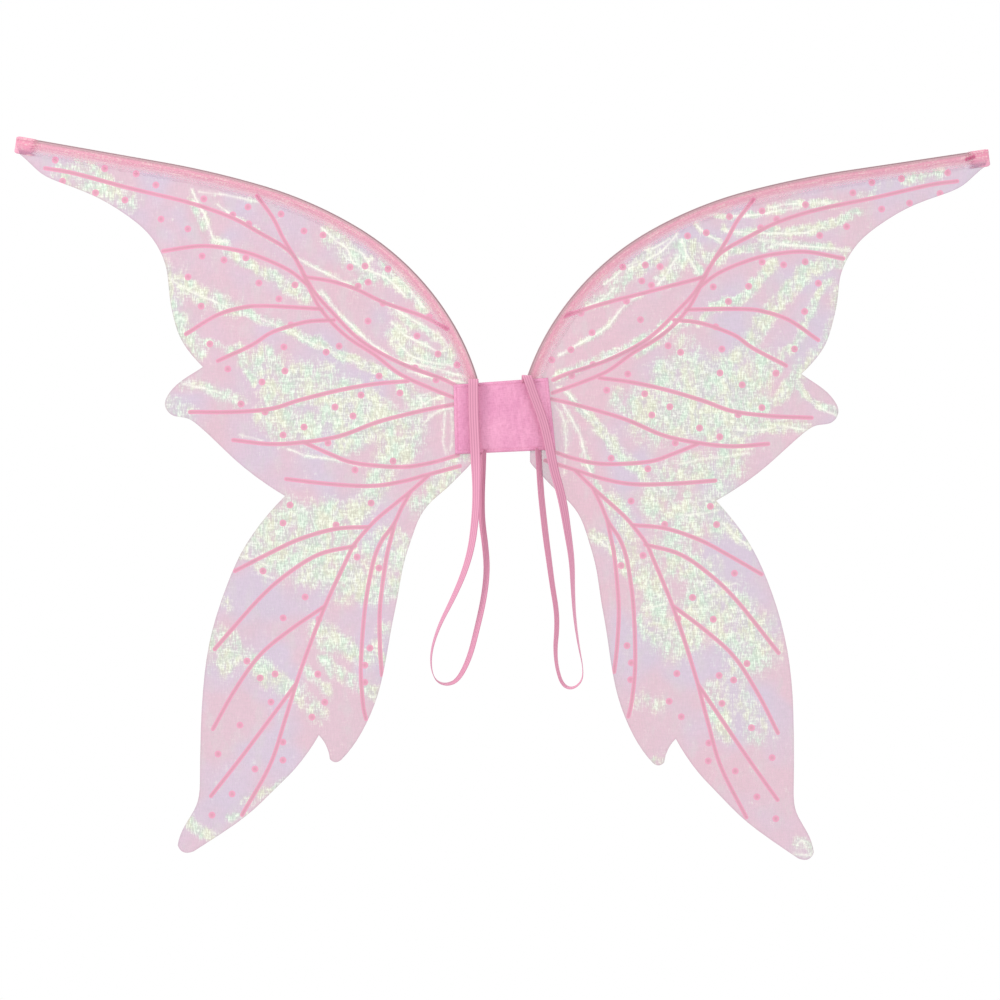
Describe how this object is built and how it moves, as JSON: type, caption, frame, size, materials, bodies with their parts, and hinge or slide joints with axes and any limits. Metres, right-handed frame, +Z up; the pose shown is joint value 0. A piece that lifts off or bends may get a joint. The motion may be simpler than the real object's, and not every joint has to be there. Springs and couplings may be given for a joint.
{
  "type": "fairy wings",
  "caption": "Costume butterfly wings of printed sheer organza on sprung wire edges, with a padded back panel and elastic arm loops.",
  "frame": {"origin": "middle of the back panel's wearer side face", "axes": "+X across the back towards the wearer's right as the arm loops are looked at, +Y away from the wearer, +Z up"},
  "size_m": [0.9701, 0.0157, 0.7222],
  "materials": {
    "organza": "sheer iridescent organza with printed pink veins and dots",
    "hem": "doubled organza, satin",
    "satin": "satin",
    "felt": "matt",
    "elastic": "ribbed elastic",
    "spring_steel": "satin",
    "board": "matt",
    "channel": "matt",
    "cap": "matt"
  },
  "bodies": {
    "panel": {"front_cover": "satin", "felt_pad": "felt", "stiffener_board": "board", "back_cover": "satin", "left_pivot_channel": "channel", "right_pivot_channel": "channel", "left_strap": "elastic", "right_strap": "elastic"},
    "left_wing": {"left_frame_wire": "spring_steel", "left_edge_casing": "hem", "left_membrane": "organza", "left_back_flap": "satin", "left_tip_patch": "hem", "left_wire_tip_cap": "cap", "left_wire_root_cap": "cap"},
    "right_wing": {"right_frame_wire": "spring_steel", "right_edge_casing": "hem", "right_membrane": "organza", "right_back_flap": "satin", "right_tip_patch": "hem", "right_wire_tip_cap": "cap", "right_wire_root_cap": "cap"}
  },
  "joints": [
    {"name": "left_wing_fold", "type": "hinge", "parent": "panel", "child": "left_wing", "pos_m": [-0.025, 0.0031, 0], "axis": [0, 0, -1], "range_deg": [0, 88]},
    {"name": "right_wing_fold", "type": "hinge", "parent": "panel", "child": "right_wing", "pos_m": [0.025, 0.0031, 0], "axis": [0, 0, 1], "range_deg": [0, 88]}
  ]
}
